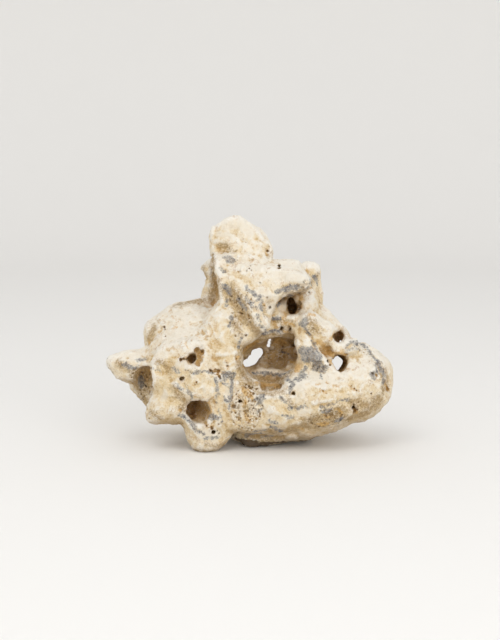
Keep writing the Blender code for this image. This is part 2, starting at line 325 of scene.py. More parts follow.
strokes = drawn(STROKES)
print("strokes:", len(strokes))

# %% [markdown]
# The strokes become two painted groups, and a Displace modifier lifts one and presses the other in. The
# edge of a stroke is rounded, and a little noise in the distance keeps it from looking ruled.

# %% Strokes lifted out of the skin, or pressed into it
WOBBLE = 0.7
WOBBLE_SIZE = 4 * MM
SOFTNESS = 1.4 * MM
TALLEST = 2.0
FAINTEST = 0.003


def paint(piece, name, weights):
    """A painted group of the piece, from one weight a point."""
    group = piece.vertex_groups.new(name=name)
    for index in np.nonzero(weights > FAINTEST)[0]:
        group.add([int(index)], float(min(weights[index], 1)), "REPLACE")


def wobble(points, size, seed):
    """Smooth noise at each point, from about -1 to 1, with lumps of this size."""
    shift = Vector((seed, 0, 0))
    return np.array([noise.noise(Vector(point) / size + shift) for point in points.tolist()], np.float32)


def stroke_depths(piece, strokes):
    """The height of all strokes together at each point, in millimetres."""
    points = points_of(piece)
    shake = wobble(points, WOBBLE_SIZE, seed=3) * WOBBLE * MM
    depths = np.zeros(len(points), np.float32)
    for height, half_width, line in strokes:
        away = distance_to(points, [(half_width * MM, trace(line))])
        share = np.clip(0.5 - (away + shake * (away < FAR)) / (2 * SOFTNESS), 0, 1)
        depths += height * share * share * (3 - 2 * share)
    return depths


depths = stroke_depths(stone, strokes)
paint(stone, "lifted", depths / TALLEST)
paint(stone, "pressed", -depths / TALLEST)
finish_with(stone, "DISPLACE", strength=TALLEST * MM, mid_level=0, vertex_group="lifted")
finish_with(stone, "DISPLACE", strength=-TALLEST * MM, mid_level=0, vertex_group="pressed")
print("tallest", round(float(depths.max()), 2), "mm, deepest", round(float(depths.min()), 2), "mm")

# %% [markdown]
# Running water and acid leave shallow scallops a centimetre wide, and between them dimples. Some places
# weather more than others. So the soft patterns go over the whole stone, and a coarse one only where a
# group is painted. A sculptor would press them in one by one, but nobody can tell one dimple from the
# next.

# %% Scallops and dimples all over
# Each pattern is (size, height, hardness, detail): a hard pattern has sharp crests between round hollows.
SCALLOPS = {
    "swells": (24.0, 1.5, "SOFT_NOISE", 0),
    "scallops": (14.0, -1.3, "HARD_NOISE", 1),
    "dimples": (6.0, -1.1, "HARD_NOISE", 1),
    "pecks": (2.4, -0.7, "HARD_NOISE", 1),
}


def cloud(name, size, hardness="SOFT_NOISE", detail=1):
    """A random pattern with lumps of about this size, in millimetres."""
    pattern = bpy.data.textures.new(name, "CLOUDS")
    pattern.noise_scale = size * MM
    pattern.noise_type = hardness
    pattern.noise_depth = detail
    return pattern


def roughen(piece, pattern, height, group="", middle=0.5):
    """Moves the skin out and in by a pattern, by height millimetres in all, where the group is painted."""
    finish_with(piece, "DISPLACE", texture=pattern, texture_coords="LOCAL", strength=height * MM,
                mid_level=middle, vertex_group=group)


for name, (size, height, hardness, detail) in SCALLOPS.items():
    roughen(stone, cloud(name, size, hardness, detail), height)
print("patterns over the whole skin:", len(SCALLOPS))

# %% [markdown]
# The coarse places get a crumbling pattern, two millimetres and a bit across. The group fades out over a
# few millimetres, so they grow out of the smooth skin without a border.

# %% Coarse places
# Each place is its half width in millimetres, then the spots of its line in the picture.
COARSE = {
    "left_cave": "6.5 141,374 143,384 146,395",
    "pore_bed": "10 240,398 246,412 252,420",
    "pore_rim": "3.5 243,385 250,388 258,391",
    "under_lobe": "6 318,421 330,418 341,412",
    "groove": "5.5 232,294 239,306 243,318",
    "nose": "2.5 304,282 307,285",
    "rim": "4 350,346 360,346 368,352",
    "patch": "3.2 318,366 323,370",
    "foot": "3.6 212,418 214,426 208,430",
    "shoulder": "4.5 158,330 152,338 148,346",
}
COARSE_SIZE = 2.3
COARSE_HEIGHT = 1.3
EDGE = 3.0

points = points_of(stone)
away = distance_to(points, [(half_width * MM, trace(line)) for half_width, line in drawn(COARSE)])
paint(stone, "coarse", np.clip(0.5 - away / (EDGE * MM), 0, 1))
roughen(stone, cloud("crumbs", COARSE_SIZE, "HARD_NOISE", 2), COARSE_HEIGHT, "coarse")
print("coarse places:", len(COARSE))

# %% [markdown]
# Shellfish, worms and sponges drilled this stone in the sea. Their bores are cut as one would drill them:
# one small lump is modelled, a copy of it is set at each mark with its own width and depth, the copies
# are fused and made a little ragged, and one Boolean takes them all away. Pressing them in with a brush
# would leave mushy edges at this size.

# %% The bores that show one by one
# Each bore is where it shows, u then v, then its width and depth in millimetres.
BORES = {
    "tower": """246 242.2 1.4 1; 248.5 255.6 1 0.8; 267.4 251 2.4 3; 266.8 257.2 1.6 2; 269 246.5 1.4 1.5;
        250.6 265.6 1.2 1.5; 249.4 268.6 1.8 2.5; 251.4 270.2 1.4 2; 246.9 271.2 1.4 1.5; 255 264.3 1.3 1;
        252.4 259.8 2.2 0.7; 238.8 271.9 1.6 0.6""",
    "brow": """279.3 268.1 3.4 5; 260 282.8 1.5 2; 266.2 272.6 1.3 0.7; 293.8 268.8 3 0.5;
        303.1 281.5 1 0.8; 305.6 280.6 1 1; 308.1 281.9 1.1 1; 304.4 284.4 1.1 1; 306.9 284.7 1.2 1.2;
        309 284.4 1 1; 303.8 287.2 1.2 1; 307.5 287.2 1 0.8; 309.1 292.4 2 2.5; 266.9 297.5 2 1.2""",
    "chamber": """299.8 303.5 4.6 3; 300 308 4 2.4; 270 307.6 2.5 4; 264.4 305.7 1.5 1.6;
        281.2 327.3 3.8 3.2; 289.9 327.4 3.4 2.2""",
    "groove": """241.9 313.8 2 3; 248.8 316 1.8 2.2; 249.6 318.5 1.6 2; 232.5 323.5 1.3 1.2;
        234.6 323.4 1.3 1.2; 253 331.2 1.4 1.5; 246 335.6 2.2 3; 235.4 335.9 1.8 2; 243 309 1.2 1.2""",
    "shoulder": """164.4 327.2 2.3 2.6; 165 329.3 1.9 2; 165.6 336.5 1.7 2.2; 174 326 1.4 1; 194 308 1.2 1;
        205.5 331 1.2 1.2; 207 337 1.1 1""",
    "ragged": """180.7 359.8 3.2 5; 183.8 358.8 2.8 3.4; 187 358.2 3.6 4; 190.5 359 8 8; 194.6 358.8 8.4 7;
        197 362 7 5; 191.6 362.6 5.4 4; 200 359.6 5.6 4.4; 197 350.6 5.8 5; 200.6 352.4 5.6 5;
        202.8 351 3 6.4; 198 355 5.4 4""",
    "ragged_low": """210.4 370.4 3 4.2; 212.8 372.2 2.8 4; 215.4 370.6 3.6 2.8; 218.2 371 3.4 3.6;
        219.4 376.4 2.8 3; 217.6 374 2.6 2.4; 220.2 378.4 2 2.4""",
    "flank": """185.6 370 1.3 1.8; 188 370.4 1.3 1.8; 190.2 371.8 1.2 1.4; 191.4 373.2 1.3 1.6;
        181.3 379.1 4.2 8; 196.4 382.4 2 1.6; 194.8 384.6 1.6 1.2; 132.6 383.1 1.8 2; 150.6 367.9 2.6 4;
        146.2 386.2 2 2.5; 149.1 418.5 1.6 2; 150.2 422.8 1.3 1.2; 180.7 409.9 3.2 1.4""",
    "foot": """211.9 428.1 3.2 4; 206.6 426 1.8 2.5; 218.8 424.4 1.7 2; 219 433.5 1.7 2;
        211.9 433.7 1.2 1""",
    "pores": """233.8 406.2 4 3; 240.2 402.2 2.2 3.6; 250.6 388.5 2.5 3.6; 245.6 388 2.2 3;
        253.1 393.8 2.5 3; 262.6 405.6 2.4 2; 250 420 2.2 2.6; 235.5 413 2 2.4; 238.6 420.5 1.8 2;
        244.4 411.5 1.8 2""",
    "cave": """246 384.6 1.8 2; 249 386.6 2.2 2.4; 252.5 387.6 1.8 2; 256.5 388.6 2.2 2.4;
        280 358.2 2.8 3.2; 294 340.5 4.2 6; 294.4 345 4.4 6; 227.5 366.2 2 2.6; 226.8 362.8 1.4 1.6;
        236.4 358.8 1.8 1.6; 243 349.5 2.2 2.6""",
    "lobe_top": """326.2 347.6 2.6 2.4; 345.8 354.8 3.8 2; 330.2 365 2.2 3; 376.2 375 3.2 2;
        372.6 373.4 2.8 2.6; 386.9 388.6 5 3.2""",
    "lobe": """292.8 393.8 4.8 5; 290.6 386.2 1.4 1; 323 391 2.4 1.5; 350.8 386.8 1.6 1.4;
        354.4 388.6 1.8 1.8; 356.8 390.6 1.7 1.8; 371.3 393.6 2 2.6; 355 410.8 4.4 5; 357.4 409.4 2 2.5;
        353.6 404.8 1.8 2; 325.6 415.6 2.4 2; 358.6 402 1.2 1""",
}
bores = [tuple(map(float, words)) for words in rows(BORES)]
print(len(bores), "bores placed by hand")

# %% [markdown]
# The drill is a small round lump. Each copy is squeezed a little and turned by chance, so no two bores
# are alike, and it points between straight in and the way one looks at it.

# %% The lump that drills, and a copy of it at each bore
LOPSIDED = 0.16
STRAIGHT_IN = 0.5
SINK = 0.18
SEED = 7
chance = random.Random(SEED)

bpy.ops.object.select_all(action="DESELECT")
bpy.ops.mesh.primitive_ico_sphere_add(subdivisions=2, radius=0.5)
lump = bpy.context.object
lump.name = "lump"
surface = BVHTree.FromObject(stone, bpy.context.evaluated_depsgraph_get())
drills = []


def drill(place, normal, direction, width, depth):
    """A copy of the lump at this place, pointing between straight in and the given direction."""
    inward = (direction.normalized() * STRAIGHT_IN - normal * (1 - STRAIGHT_IN)).normalized()
    squeeze = 1 + chance.uniform(-LOPSIDED, LOPSIDED)
    turn = inward.to_track_quat("Z", "Y").to_matrix().to_4x4()
    spin = Matrix.Rotation(chance.uniform(0, 2 * math.pi), 4, "Z")
    size = Matrix.Diagonal((width * squeeze * MM, width / squeeze * MM, 2 * depth * MM, 1))
    copy = lump.copy()
    copy.data = lump.data.copy()
    copy.data.transform(Matrix.Translation(place + inward * depth * SINK * MM) @ turn @ spin @ size)
    bpy.context.scene.collection.objects.link(copy)
    drills.append(copy)


for u, v, width, depth in bores:
    place, normal = spot(u, v)
    if place is not None:
        drill(place, normal, ray_through(u, v), width, depth)
print(len(drills), "copies")

# %% [markdown]
# Where the backdrop shows through the stone, a long copy of the lump lies on the camera's own ray, so the
# hole opens in the picture where it should. The large bores are deepened in the same way, but end inside
# the stone.

# %% The windows, drilled right through
# Each hole is where it shows, u then v, then its width and how far back it starts and ends in millimetres.
WINDOWS = {
    "kidney": "247.2 363 8.4 -40 55; 251.6 359 8.6 -40 55; 256.2 353.8 10 -40 55; 259 351.4 7.4 -40 55",
    "slit": "269.6 339.4 3.4 -40 70; 269 342.4 4 -40 70; 268.4 345.6 3.8 -40 70",
    "upper_bore": "291 302.4 9 -34 4; 292.2 307 9.8 -36 8; 292.6 311.4 8.6 -38 4",
    "right_window": "333 361.4 9 -48 38; 337 362 9.4 -48 38; 335.4 366.6 8.6 -48 38",
    "edge_bore": "338 338.6 9 -44 -4; 335 336.4 6 -46 -10; 340.6 341.4 2.4 -45 30",
    "left_bore": "190.4 406 8.4 -50 -24; 190.6 411 8.6 -50 -25; 192 415.4 7.4 -52 -32",
    "basin": "264 386 8 -52 -30; 271 387.4 9.4 -54 -32; 278 386.4 8 -54 -34",
}


def drill_through(u, v, width, front, back):
    """A long copy of the lump on the camera's ray through this spot, between two depths in millimetres."""
    ray = ray_through(u, v)
    start, end = (camera.location + ray * ((depth * MM - camera.location.y) / ray.y)
                  for depth in (front, back))
    drill((start + end) / 2, -ray, ray, width, (end - start).length / 2 / MM)


for words in rows(WINDOWS):
    drill_through(*map(float, words))
print(len(drills), "copies with the windows")

# %% [markdown]
# Sponges leave beds of pores, too many to place one by one. Each bed is an ellipse in the picture, filled
# by a seeded chance, with many fine pores and few wide ones.

# %% Beds of small pores
# Each bed is (u, v, half width, half height, pores, least width, most width), the widths in millimetres.
BEDS = {
    "pore_bed": (246, 408, 16, 24, 190, 0.9, 2.2),
    "pore_rim": (236, 377, 9, 5, 24, 0.8, 1.5),
    "left_cave": (141, 383, 11, 17, 70, 1.0, 2.4),
    "groove": (241, 309, 13, 21, 90, 0.8, 1.7),
    "cave": (274, 353, 16, 13, 44, 1.0, 2.8),
    "under_lobe": (328, 419, 20, 9, 110, 0.9, 2.0),
    "grey_lobe": (316, 326, 13, 8, 34, 0.8, 1.4),
    "grey_rim": (367, 352, 17, 10, 50, 0.8, 1.8),
    "grey_patch": (319, 367, 8, 6, 24, 0.8, 1.6),
    "shoulder": (185, 335, 32, 24, 16, 0.8, 1.3),
    "tower": (238, 250, 24, 28, 8, 0.7, 1.1),
    "brow": (280, 276, 24, 10, 6, 0.7, 1.1),
    "nose": (306, 284, 5, 4.5, 16, 0.8, 1.2),
    "lobe": (340, 392, 44, 26, 40, 0.7, 1.4),
    "horn": (127, 364, 17, 9, 8, 0.8, 1.3),
    "flank": (170, 395, 20, 22, 10, 0.7, 1.2),
    "foot": (210, 428, 16, 14, 26, 0.8, 1.5),
}
PORE_DEPTHS = (0.6, 1.2)


def pore(place, normal, least, most):
    """A small bore, more often near the least width, and about as deep as it is wide."""
    width = least + (most - least) * chance.random() ** 2
    drill(place, normal, -normal, width, width * chance.uniform(*PORE_DEPTHS))


for u, v, half_width, half_height, count, least, most in BEDS.values():
    for _ in range(count):
        angle = chance.uniform(0, 2 * math.pi)
        reach = math.sqrt(chance.random())
        place, normal = spot(u + half_width * reach * math.cos(angle),
                             v + half_height * reach * math.sin(angle))
        if place is not None:
            pore(place, normal, least, most)
print(len(drills), "copies with the beds")

# %% [markdown]
# The sides, the back and the underside are bored too. There a point of the skin is picked by chance, kept
# only where the camera doesn't see it, and more often where a slow noise is high, because borers live
# together.

# %% Bores that the camera doesn't see
HIDDEN_PORES = 700
HIDDEN_BORES = 46
CLUSTERS = 0.15
CLUSTER_SIZE = 22 * MM
FOOT_CLEAR = 3 * MM
NEAR_ENOUGH = 1.5 * MM
PORE_WIDTHS = (0.8, 2.2)
BORE_WIDTHS = (2.2, 5.6)
BORE_DEPTHS = (0.5, 1.3)
points = points_of(stone)
normals = normals_of(stone)


def seen(place):
    """Whether the camera sees this point of the stone."""
    toward = place - camera.location
    _, _, _, distance = surface.ray_cast(camera.location, toward.normalized())
    return distance is not None and distance > toward.length - NEAR_ENOUGH


def crowding(place):
    """A slow noise that gathers the pores into loose groups."""
    return noise.noise(place / CLUSTER_SIZE)


def hidden_spot():
    """A point of the skin that the camera doesn't see, more often in a crowded place."""
    while True:
        index = chance.randrange(len(points))
        place = Vector(points[index])
        crowded = crowding(place) > CLUSTERS * chance.uniform(-3, 3)
        if crowded and place.z > FOOT_CLEAR and not seen(place):
            return place, Vector(normals[index])


for _ in range(HIDDEN_PORES):
    pore(*hidden_spot(), *PORE_WIDTHS)
for _ in range(HIDDEN_BORES):
    place, normal = hidden_spot()
    width = BORE_WIDTHS[0] + (BORE_WIDTHS[1] - BORE_WIDTHS[0]) * chance.random() ** 2
    drill(place, normal, -normal, width, width * chance.uniform(*BORE_DEPTHS))
print(len(drills), "copies in all")

# %% [markdown]
# Copies that overlap are fused by a fine voxel remesh, and a ragged pattern breaks their round outline.
# Then one Boolean takes the whole body of drills out of the stone. The manifold solver is the fast one,
# and it can be used because both bodies are closed.

# %% Fuse the drills and cut them out
FUSE_VOXEL = 0.32 * MM
RAGGED_SIZE = 1.8
RAGGED_HEIGHT = 0.85

only(lump)
bpy.ops.object.delete()
only(*drills)
bpy.ops.object.join()
borers = bpy.context.object
finish_with(borers, "REMESH", mode="VOXEL", voxel_size=FUSE_VOXEL)
roughen(borers, cloud("ragged", RAGGED_SIZE), RAGGED_HEIGHT)
print("borers:", len(borers.data.polygons), "faces; stone:", len(stone.data.polygons))
finish_with(stone, "BOOLEAN", operation="DIFFERENCE", solver="MANIFOLD", object=borers)
only(borers)
bpy.ops.object.delete()
print("bored stone:", len(stone.data.polygons), "faces")

# %% [markdown]
# Thinning a cut skin can pinch it at the rims, which leaves open or crowded edges. `mend` first draws
# each pinched place together into one point. The few that are left then are cut out, and their pinholes
# filled, until the skin is one closed surface again.

# %% Mending pinched places
DRAWN_ROUNDS = 2
MOST_ROUNDS = 14


def loose_ends(piece):
    """Selects the points on open or crowded edges, and counts them."""
    only(piece)
    bpy.ops.object.mode_set(mode="EDIT")
    bpy.ops.mesh.select_mode(type="VERT")
    bpy.ops.mesh.select_all(action="DESELECT")
    bpy.ops.mesh.select_non_manifold()
    bpy.ops.object.mode_set(mode="OBJECT")
    return sum(vertex.select for vertex in piece.data.vertices)


def mend(piece):
    """Closes the skin at its pinched places, and gives how many bad points each round found."""
    counts = [loose_ends(piece)]
    while counts[-1] and len(counts) < MOST_ROUNDS:
        bpy.ops.object.mode_set(mode="EDIT")
        if len(counts) <= DRAWN_ROUNDS:
            bpy.ops.mesh.merge(type="COLLAPSE")
        else:
            bpy.ops.mesh.delete(type="VERT")
            bpy.ops.mesh.select_non_manifold()
            bpy.ops.mesh.fill_holes(sides=0)
            bpy.ops.mesh.select_all(action="SELECT")
            bpy.ops.mesh.quads_convert_to_tris()
        bpy.ops.mesh.select_all(action="SELECT")
        bpy.ops.mesh.delete_loose(use_verts=True, use_edges=True, use_faces=False)
        bpy.ops.object.mode_set(mode="OBJECT")
        counts.append(loose_ends(piece))
    return counts


print("open points after the cut:", loose_ends(stone))

# %% [markdown]
# The bored skin is far too dense to hand on, so a Decimate modifier thins it. It takes the flat places
# first and leaves the rims of the bores, which is where the points are needed. The stone ends just under
# 200,000 triangles.

# %% Thin the skin
MOST_TRIANGLES = 196_000

finish_with(stone, "TRIANGULATE")
finish_with(stone, "DECIMATE", ratio=MOST_TRIANGLES / len(stone.data.polygons))
finish_with(stone, "TRIANGULATE")
stone.vertex_groups.clear()
stone.data.shade_smooth()
print("thinned stone:", len(stone.data.polygons), "triangles")

# %% [markdown]
# The cut leaves loose crumbs, and relief has pushed a few points under the feet. Those points are lifted
# back to the ground, only the largest body is kept, and it is mended and turned to face outwards.

# %% One closed body that stands flat
points = points_of(stone)
points[:, 2] = np.maximum(points[:, 2], 0)
stone.data.vertices.foreach_set("co", points.ravel())
stone.data.update()
only(stone)
bpy.ops.mesh.separate(type="LOOSE")
bodies = sorted(bpy.context.selected_objects, key=lambda body: len(body.data.polygons))
stone = bodies.pop()
crumbs = sum(len(body.data.polygons) for body in bodies)
if bodies:
    only(*bodies)
    bpy.ops.object.delete()
stone.name = "weathered_stone"
print("crumbs dropped:", len(bodies), "with", crumbs, "faces")
print("bad points, round by round:", mend(stone))
bpy.ops.object.mode_set(mode="EDIT")
bpy.ops.mesh.select_all(action="SELECT")
bpy.ops.mesh.normals_make_consistent(inside=False)
bpy.ops.object.mode_set(mode="OBJECT")
stone.data.shade_smooth()
print("one body:", len(stone.data.polygons), "triangles")

# %% [markdown]
# The colours of a weathered stone follow its form: rain bleaches what faces up, iron stains what is
# sheltered, and dust stays in the pits. The material also paints light and shade from the same facts:
# painted light on what faces up and on crests, painted shade in what is closed in and in the pits. So
# three facts are measured at each point and stored as attributes for the material: how far it is closed
# in by the stone around it, how deep it lies in a pit, and how much it faces up. Ambient occlusion in the
# shader would find the first one too, but it is slow, and it can't be reused.

# %% How the skin lies
HOLLOW_REACH = 34 * MM
HOLLOW_RAYS = 40
HOLLOW_SAMPLES = 9000
HOLLOW_LIFT = 2.0 * MM
HOLLOW_NEIGHBOURS = 6
SMOOTH_SKIN_STEPS = 24


def store(name, values):
    """Keeps one number a point as an attribute that the material can read."""
    attribute = stone.data.attributes.new(name, "FLOAT", "POINT")
    attribute.data.foreach_set("value", np.asarray(values, np.float32))


points = points_of(stone)
broad_points, broad_normals = softened(stone, SMOOTH_SKIN_STEPS)
dip = ((broad_points - points) * broad_normals).sum(axis=1) / MM
surface = BVHTree.FromObject(stone, bpy.context.evaluated_depsgraph_get())

golden = math.pi * (3 - math.sqrt(5))
sky = []
for ray in range(HOLLOW_RAYS):
    height = 1 - (ray + 0.5) / HOLLOW_RAYS
    ring = math.sqrt(1 - height * height)
    sky.append(Vector((ring * math.cos(golden * ray), ring * math.sin(golden * ray), height)))


def closed_in(place, normal):
    """The share of a dome of rays, set on this point, that the stone stops within reach."""
    turn = normal.to_track_quat("Z", "Y")
    start = place + normal * HOLLOW_LIFT
    stopped = sum(surface.ray_cast(start, turn @ ray, HOLLOW_REACH)[3] is not None for ray in sky)
    return stopped / HOLLOW_RAYS


def spread(measure, places, sample_count, neighbours):
    """Measures at some places, picked by chance, and gives every place the mean of its nearest ones."""
    samples = chance.sample(range(len(places)), sample_count)
    tree = KDTree(len(samples))
    for index in samples:
        tree.insert(places[index], index)
    tree.balance()
    found = {index: measure(index) for index in samples}
    return [np.mean([found[near] for _, near, _ in tree.find_n(place, neighbours)])
            for place in places.tolist()]


hollow = spread(lambda index: closed_in(Vector(broad_points[index]), Vector(broad_normals[index])),
                broad_points, HOLLOW_SAMPLES, HOLLOW_NEIGHBOURS)
store("hollow", hollow)
store("dip", dip)
store("up", broad_normals[:, 2])
print("hollow", np.percentile(hollow, [5, 50, 95]).round(2), "dip", np.percentile(dip, [5, 50, 95]).round(2))

# %% [markdown]
# The stains are strokes again: grey veins, ochre patches, pale crusts with some painted light, dark
# specks, dirt with painted shade, and painted shade under the belly, each drawn where it shows. An
# attribute keeps how far inside its nearest stroke each point is, in millimetres, and the material frays
# that edge with noise. Painting them on an image would look the same but would need a picture.

# %% Laying stains on the skin
FRAY_REACH = 6.0
WANDER = 1.6 * MM
WANDER_SIZE = 6 * MM
WANDER_SEED = 7


def stain(name, regions):
    """How far inside the nearest of these strokes each point lies, in millimetres; outside is below zero."""
    chains = [(half_width * MM, trace(line)) for half_width, line in drawn(regions)]
    store(name, np.clip(-distance_to(wandered, chains) / MM, -FRAY_REACH, FRAY_REACH))
    print(name, "strokes:", len(chains))


noise.seed_set(WANDER_SEED)
wandered = np.array([Vector(place) + WANDER * noise.noise_vector(Vector(place) / WANDER_SIZE)
                     for place in points.tolist()], np.float32)
print("points shaken for the stains:", len(wandered))

# %% [markdown]
# Thin blue-grey veins follow the grooves and the rims, and a few broader washes lie on the lobe.

# %% Grey veins
# Each stain is its half width in millimetres, then the spots of its line in the picture.
GREY = {
    "brow": """2.2 284,289 291,288 299,288; 1.1 309,287 303,291 296,294;
        1.3 291,296 284,297 280,300 277,307; 1.6 283,288 277,292""",
    "knob": "2.4 313,276 317,282; 1.2 309,279 312,286",
    "chamber": """1.5 262,300 260,306 262,313 264,316; 1.9 273,319 279,318; 1.5 259,322 262,328 267,333;
        1.4 257,316 260,324; 1.1 259,334 268,332 276,331 281,333; 0.9 256,302 262,296""",
    "groove": """2.6 226,286 230,293; 2.2 239,300 246,310; 1.6 246,296 255,308; 2 227,300 226,306;
        1.6 248,288 257,297""",
    "column": "1.4 240,338 239,347; 1.6 232,318 230,326",
    "tower": "2 224,257 230,257; 1.8 229,262 235,260; 1.4 220,268 224,271",
    "flank": """1.4 194,373 203,371 213,373; 1.7 216,378 217,387 217,397; 1 216,397 218,404;
        1.3 186,384 190,392 192,399; 1.3 176,385 183,388; 1.4 178,372 172,368""",
    "bed": """3.4 224,375 233,376; 1.9 232,380 231,390 231,400; 1.5 224,398 230,404 229,411;
        1.9 256,400 262,396; 1.6 258,404 265,399; 1.2 258,412 263,408; 1.3 226,384 221,378""",
    "foot": """2.8 210,417 215,417; 1.8 189,421 193,426 199,432; 1.4 199,431 203,434; 1.4 219,411 221,421;
        1.2 181,415 187,418; 1.6 246,436 253,434 261,433; 1.1 206,439 218,437""",
    "horn": """1.7 124,365 131,367; 1.5 133,368 139,366; 1.2 137,360 148,359; 1.2 154,369 160,371;
        3 140,379 143,386""",
    "cave": """1.9 254,373 263,373 272,374; 1.6 272,375 281,375 289,371; 1.4 288,376 291,384 289,391;
        1.2 281,352 289,354""",
    "lobe": """2.6 302,324 306,320; 1.5 303,326 308,332 312,336; 1.4 309,333 314,343 317,349;
        4.2 303,350 312,352 318,357; 3.8 304,358 313,360 319,365; 3.8 317,368 324,369;
        2 306,367 301,374 299,380; 1.2 304,370 304,379; 1.3 321,372 321,378; 1.8 296,378 292,385 289,392""",
    "low": """1.5 282,398 286,403 291,409; 1.2 296,409 301,406 307,407; 1.6 322,407 333,404;
        1 335,402 350,399; 1.8 322,412 330,410; 1.6 337,421 343,418; 1.8 270,421 277,423;
        1.5 272,427 281,431; 1.4 254,432 265,430; 1.6 262,437 274,436; 1.1 283,416 291,417""",
    "rim": """1.9 347,345 352,342 359,342; 1.6 359,343 366,347 371,352; 1.9 371,354 377,360 381,367;
        1.7 381,369 384,376 383,383; 2.6 373,374 374,377; 1.2 348,350 353,349; 1.4 376,366 379,374;
        1 353,346 360,350""",
}
stain("grey", GREY)

# %% [markdown]
# Iron in the stone turns to ochre round the pores, in the bores and along the cracks of the shoulder.

# %% Ochre patches
OCHRE = {
    "tower": """1 267,247 266,256; 1 253,260 252,262; 0.8 254,264 256,265; 0.7 238,272 240,272;
        0.8 293,269 295,269""",
    "knob": "1 306,270 308,272; 1.2 310,288 313,286",
    "chamber": """3.4 279,300 281,309 283,316; 2.2 285,297 293,296 301,297; 1.5 263,304 265,307;
        1.4 262,320 266,325; 2.8 275,325 277,328; 1.5 282,324 291,324; 1.3 284,332 291,331;
        2.2 302,301 302,307; 2 310,314 314,315""",
    "groove": "1.1 247,314 250,319; 0.7 240,309 241,312",
    "shoulder": """0.6 157,317 161,321 164,326; 0.5 161,316 166,322; 0.8 169,311 173,317 177,321 181,321;
        0.8 173,329 175,326 177,327; 0.7 196,329 201,331 206,330; 0.7 202,326 207,328 208,332;
        0.7 208,323 212,327 213,334; 0.7 197,336 204,338 209,336; 0.6 182,339 181,345;
        0.6 187,338 185,344 187,349; 0.6 191,337 191,341; 0.8 168,350 172,349 176,350; 0.6 161,331 161,345;
        1 212,341 216,342; 0.7 146,339 150,345; 0.6 170,358 180,356""",
    "bowl": "2 208,403 211,411 208,418",
    "ragged": """2.2 196,350 202,354 198,361; 1.4 187,357 190,361; 1.5 213,370 218,375 219,378;
        1 196,382 195,385""",
    "flank": """0.8 195,395 200,396 205,399; 1.2 211,398 213,399; 1.1 180,409 181,411; 0.9 132,383 133,384;
        0.7 178,377 180,382; 1 149,369 151,372 152,378""",
    "ledge": "1.2 226,362 228,369; 1.3 218,371 222,374; 1.2 233,360 238,357",
    "bed": """2.6 243,389 246,393; 2 249,390 252,398; 1.6 246,400 243,406; 1.8 243,412 247,420;
        1.3 251,406 254,413; 1.2 238,408 239,416; 1.2 250,417 250,422; 0.9 236,423 240,428""",
    "cave": """3 257,341 249,346 243,350; 3.4 276,340 284,343; 2.2 256,382 266,385 278,386;
        2.4 290,360 296,364 297,371; 1.8 243,364 246,371""",
    "lobe_top": """3 320,342 326,348 332,354; 2.2 333,334 331,338; 2 334,353 339,352 345,355;
        1.5 330,362 330,366; 1.4 313,342 316,350; 2 386,386 388,390; 1.2 376,375 377,376""",
    "lobe": """0.9 292,391 295,396; 1 321,391 325,392; 1.2 350,386 357,391; 0.8 313,386 320,384;
        0.8 331,385 340,386; 0.8 326,381 327,384; 1.4 336,409 342,412; 1.6 353,409 356,412;
        1.2 324,415 328,417; 1.5 318,424 328,424; 1.2 340,366 352,370; 1.6 300,428 303,430""",
    "foot": "1.2 212,426 212,430; 1.6 204,408 208,413; 0.8 206,425 208,427",
}
stain("ochre", OCHRE)

# %% [markdown]
# Where rain runs off, lime dries to a pale crust: on the tops of the forms and on the lips of the bores.
# Some strokes left of the upper bore are painted light too, in a recess that the form shades too deeply.

# %% Pale crusts, and some painted light
PALE = {
    "tower": "5 226,226 240,224 250,232; 3 218,234 228,236; 2.4 238,262 246,259",
    "brow": """4.4 278,275 290,277 301,279; 2.6 303,284 307,285; 2.6 262,291 270,297; 3 246,266 258,268;
        1.6 262,288 270,293; 1.4 257,303 259,315""",
    "disc": "4.6 270,307 272,309; 2.2 263,321 266,324",
    "shoulder": "3 200,317 212,312; 2.6 152,352 166,353; 2.2 176,364 182,366",
    "flank": """1.2 174,367 180,364 187,366; 2.6 166,392 163,400; 2.4 228,391 227,396;
        1.6 202,381 205,391""",
    "chamber": "2.4 297,315 303,319; 1.8 298,309 304,312; 1.6 320,330 326,334",
    "rim": """1.2 364,342 372,349; 1.4 377,353 383,360; 1.5 387,364 391,373; 1.4 330,329 338,331;
        1 341,345 346,349; 1.2 329,373 338,374""",
    # In hole, the stroke left of the upper bore (276,298 to 281,314) is painted light as well as crust.
    "hole": """1.8 284,296 291,294 298,297; 3 276,298 279,306 281,314; 2.6 283,300 284,309;
        2 303,303 304,310""",
    "pores": "3.4 236,400 240,414; 3 250,404 256,414; 5 204,434 216,436",
    "lobe": """1.5 272,377 279,376; 2.6 300,393 297,400; 2 330,379 338,383; 2.4 296,386 306,388;
        3 300,412 310,411""",
}
stain("pale", PALE)

# %% [markdown]
# Beds of the finest pores read as dark specks. Only their places are drawn, and the material strews the
# specks in them.

# %% Beds of dark specks
SPECKS = {
    "nose": "3.4 304,283 308,285",
    "groove": "6 229,296 240,308 246,318; 3 250,322 258,326",
    "bed": "10 240,400 248,414 250,424; 4 226,376 238,376; 3.6 243,385 260,390",
    "cave": "7 140,374 145,394; 1.8 266,348 263,356; 3 262,390 280,391",
    "lobe": """6 320,420 332,416 341,410; 4 310,320 324,330; 4.4 318,367 324,370;
        3.4 351,345 360,350 369,356; 4 326,408 338,403; 2.6 372,375 377,376""",
    "foot": "3.4 210,415 216,419; 3 192,424 200,432; 3.4 252,436 266,438",
    "tower": "5 224,257 235,260; 3 205,262 206,272; 3 250,265 248,270",
    "shoulder": "4 152,330 149,340; 3 190,304 204,300; 3 144,352 150,358",
    "flank": "2.4 190,370 212,372; 3 166,362 174,370; 3 186,383 192,392",
}
stain("specks", SPECKS)
